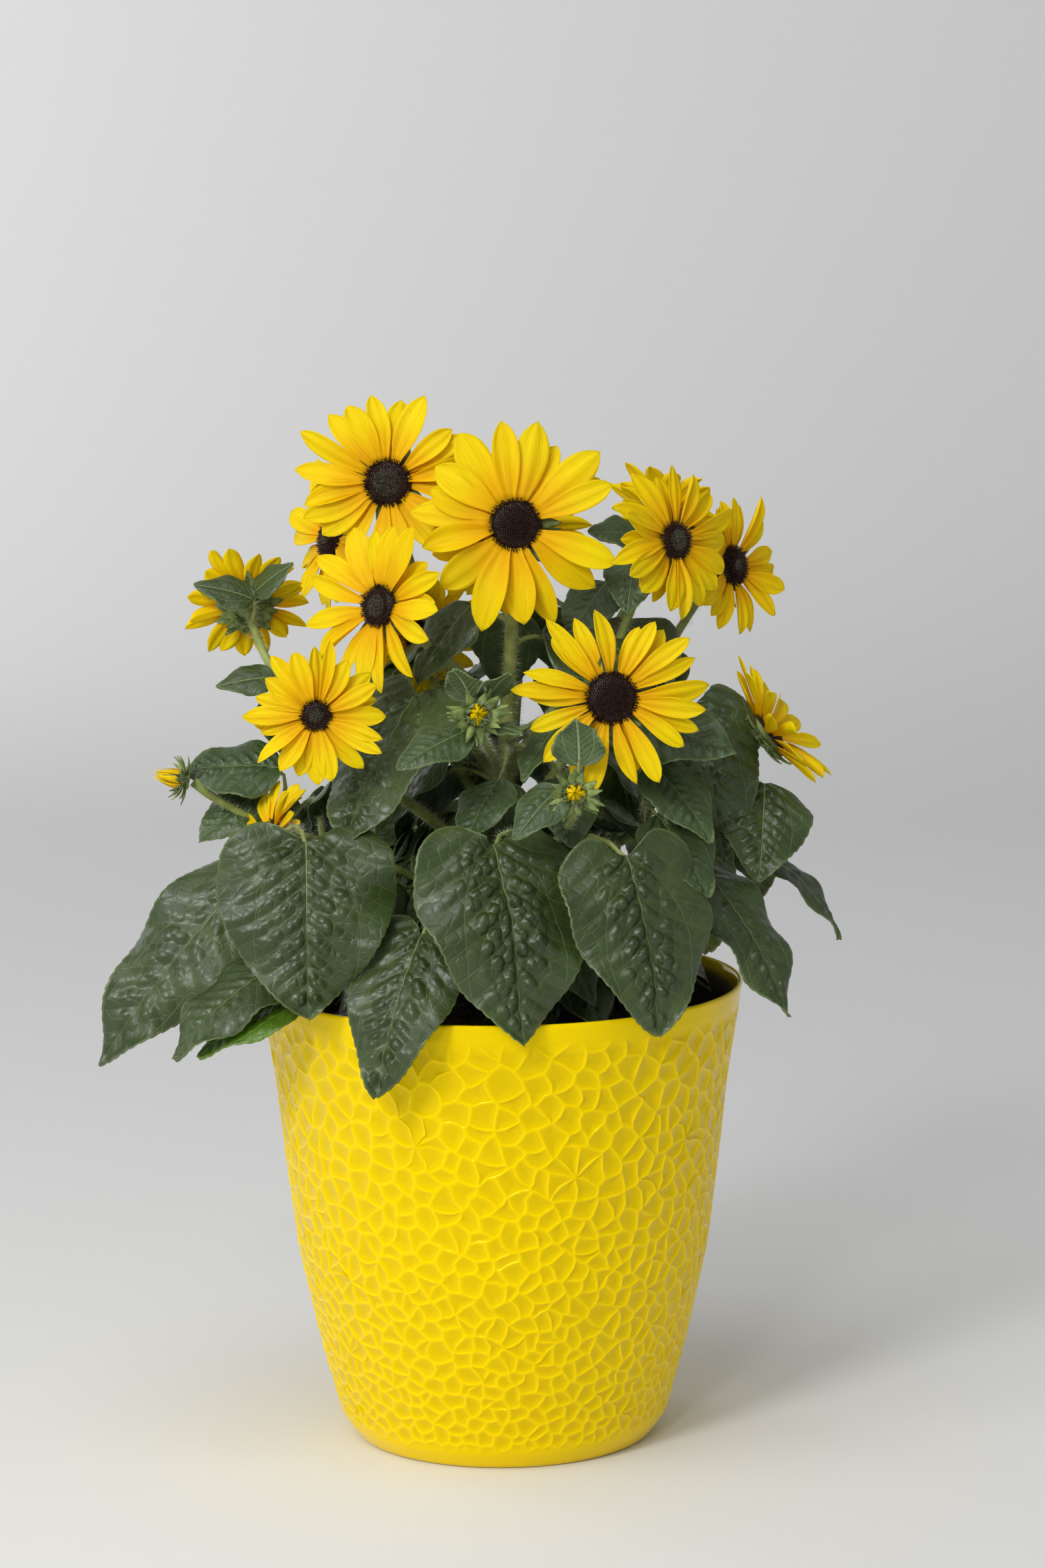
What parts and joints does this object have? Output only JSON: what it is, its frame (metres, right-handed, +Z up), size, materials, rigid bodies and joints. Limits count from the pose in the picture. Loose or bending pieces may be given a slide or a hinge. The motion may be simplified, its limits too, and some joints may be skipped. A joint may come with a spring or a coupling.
{
  "type": "potted sunflower plant",
  "caption": "Bushy multi-flowered sunflower in a tapered yellow pot: golden blooms with dark discs and large drooping heart-shaped leaves.",
  "frame": {"origin": "centre of the pot's flat underside, which stands on the floor", "axes": "+Z up, -Y towards the front of the plant, +X to its right as seen from the front"},
  "size_m": [0.3634, 0.2794, 0.5207],
  "materials": {
    "pot": "glossy injection-moulded yellow plastic with a raised net-like relief",
    "soil": "moist crumbly potting mix",
    "stem": "green stem with fine white hairs",
    "petal": "satin golden yellow petals round a dark brown disc",
    "bud": "hairy green bracts round a yellow tuft",
    "leaf": "dark green, blistered and slightly glossy, with pale veins",
    "foliage": "dark green inner leaves"
  },
  "bodies": {
    "root": {"pot": "pot", "soil": "soil", "main_stem": "stem", "stem_back_centre": "stem", "stem_back_right": "stem", "stem_far_left": "stem", "stem_far_right": "stem", "stem_low_left": "stem", "stem_mid_left": "stem", "stem_outer_left": "stem", "stem_rear_left": "stem", "stem_right_centre": "stem", "stem_side_right": "stem", "stem_top_left": "stem", "stem_top_right": "stem", "stem_under_left": "stem", "stem_upper_right": "stem", "bloom_back_centre": "petal", "bloom_back_right": "petal", "bloom_far_left": "petal", "bloom_far_right": "petal", "bloom_low_left": "petal", "bloom_mid_left": "petal", "bloom_outer_left": "petal", "bloom_rear_left": "petal", "bloom_right_centre": "petal", "bloom_side_right": "petal", "bloom_top_centre": "petal", "bloom_top_left": "petal", "bloom_top_right": "petal", "bloom_under_left": "petal", "bloom_upper_right": "petal", "bud_front": "bud", "bud_left": "bud", "bud_right": "bud", "leaf_back_centre": "leaf", "leaf_back_left": "leaf", "leaf_back_right": "leaf", "leaf_front_centre": "leaf", "leaf_front_left": "leaf", "leaf_front_right": "leaf", "leaf_left_rear": "leaf", "leaf_low_left": "leaf", "leaf_low_right": "leaf", "leaf_mid_left": "leaf", "leaf_outer_right": "leaf", "leaf_right_rear_low": "leaf", "leaf_right_tall": "leaf", "leaf_rim_left": "leaf", "leaf_rim_outer": "leaf", "leaf_side_left": "leaf", "leaf_side_right": "leaf", "leaves_at_front_bud": "leaf", "leaves_at_left_bud": "leaf", "leaves_at_right_bud": "leaf", "leaves_centre": "leaf", "leaves_right_front": "leaf", "leaves_upper_right": "leaf", "foliage_inner_back": "foliage", "foliage_inner_front": "foliage"}
  },
  "joints": []
}
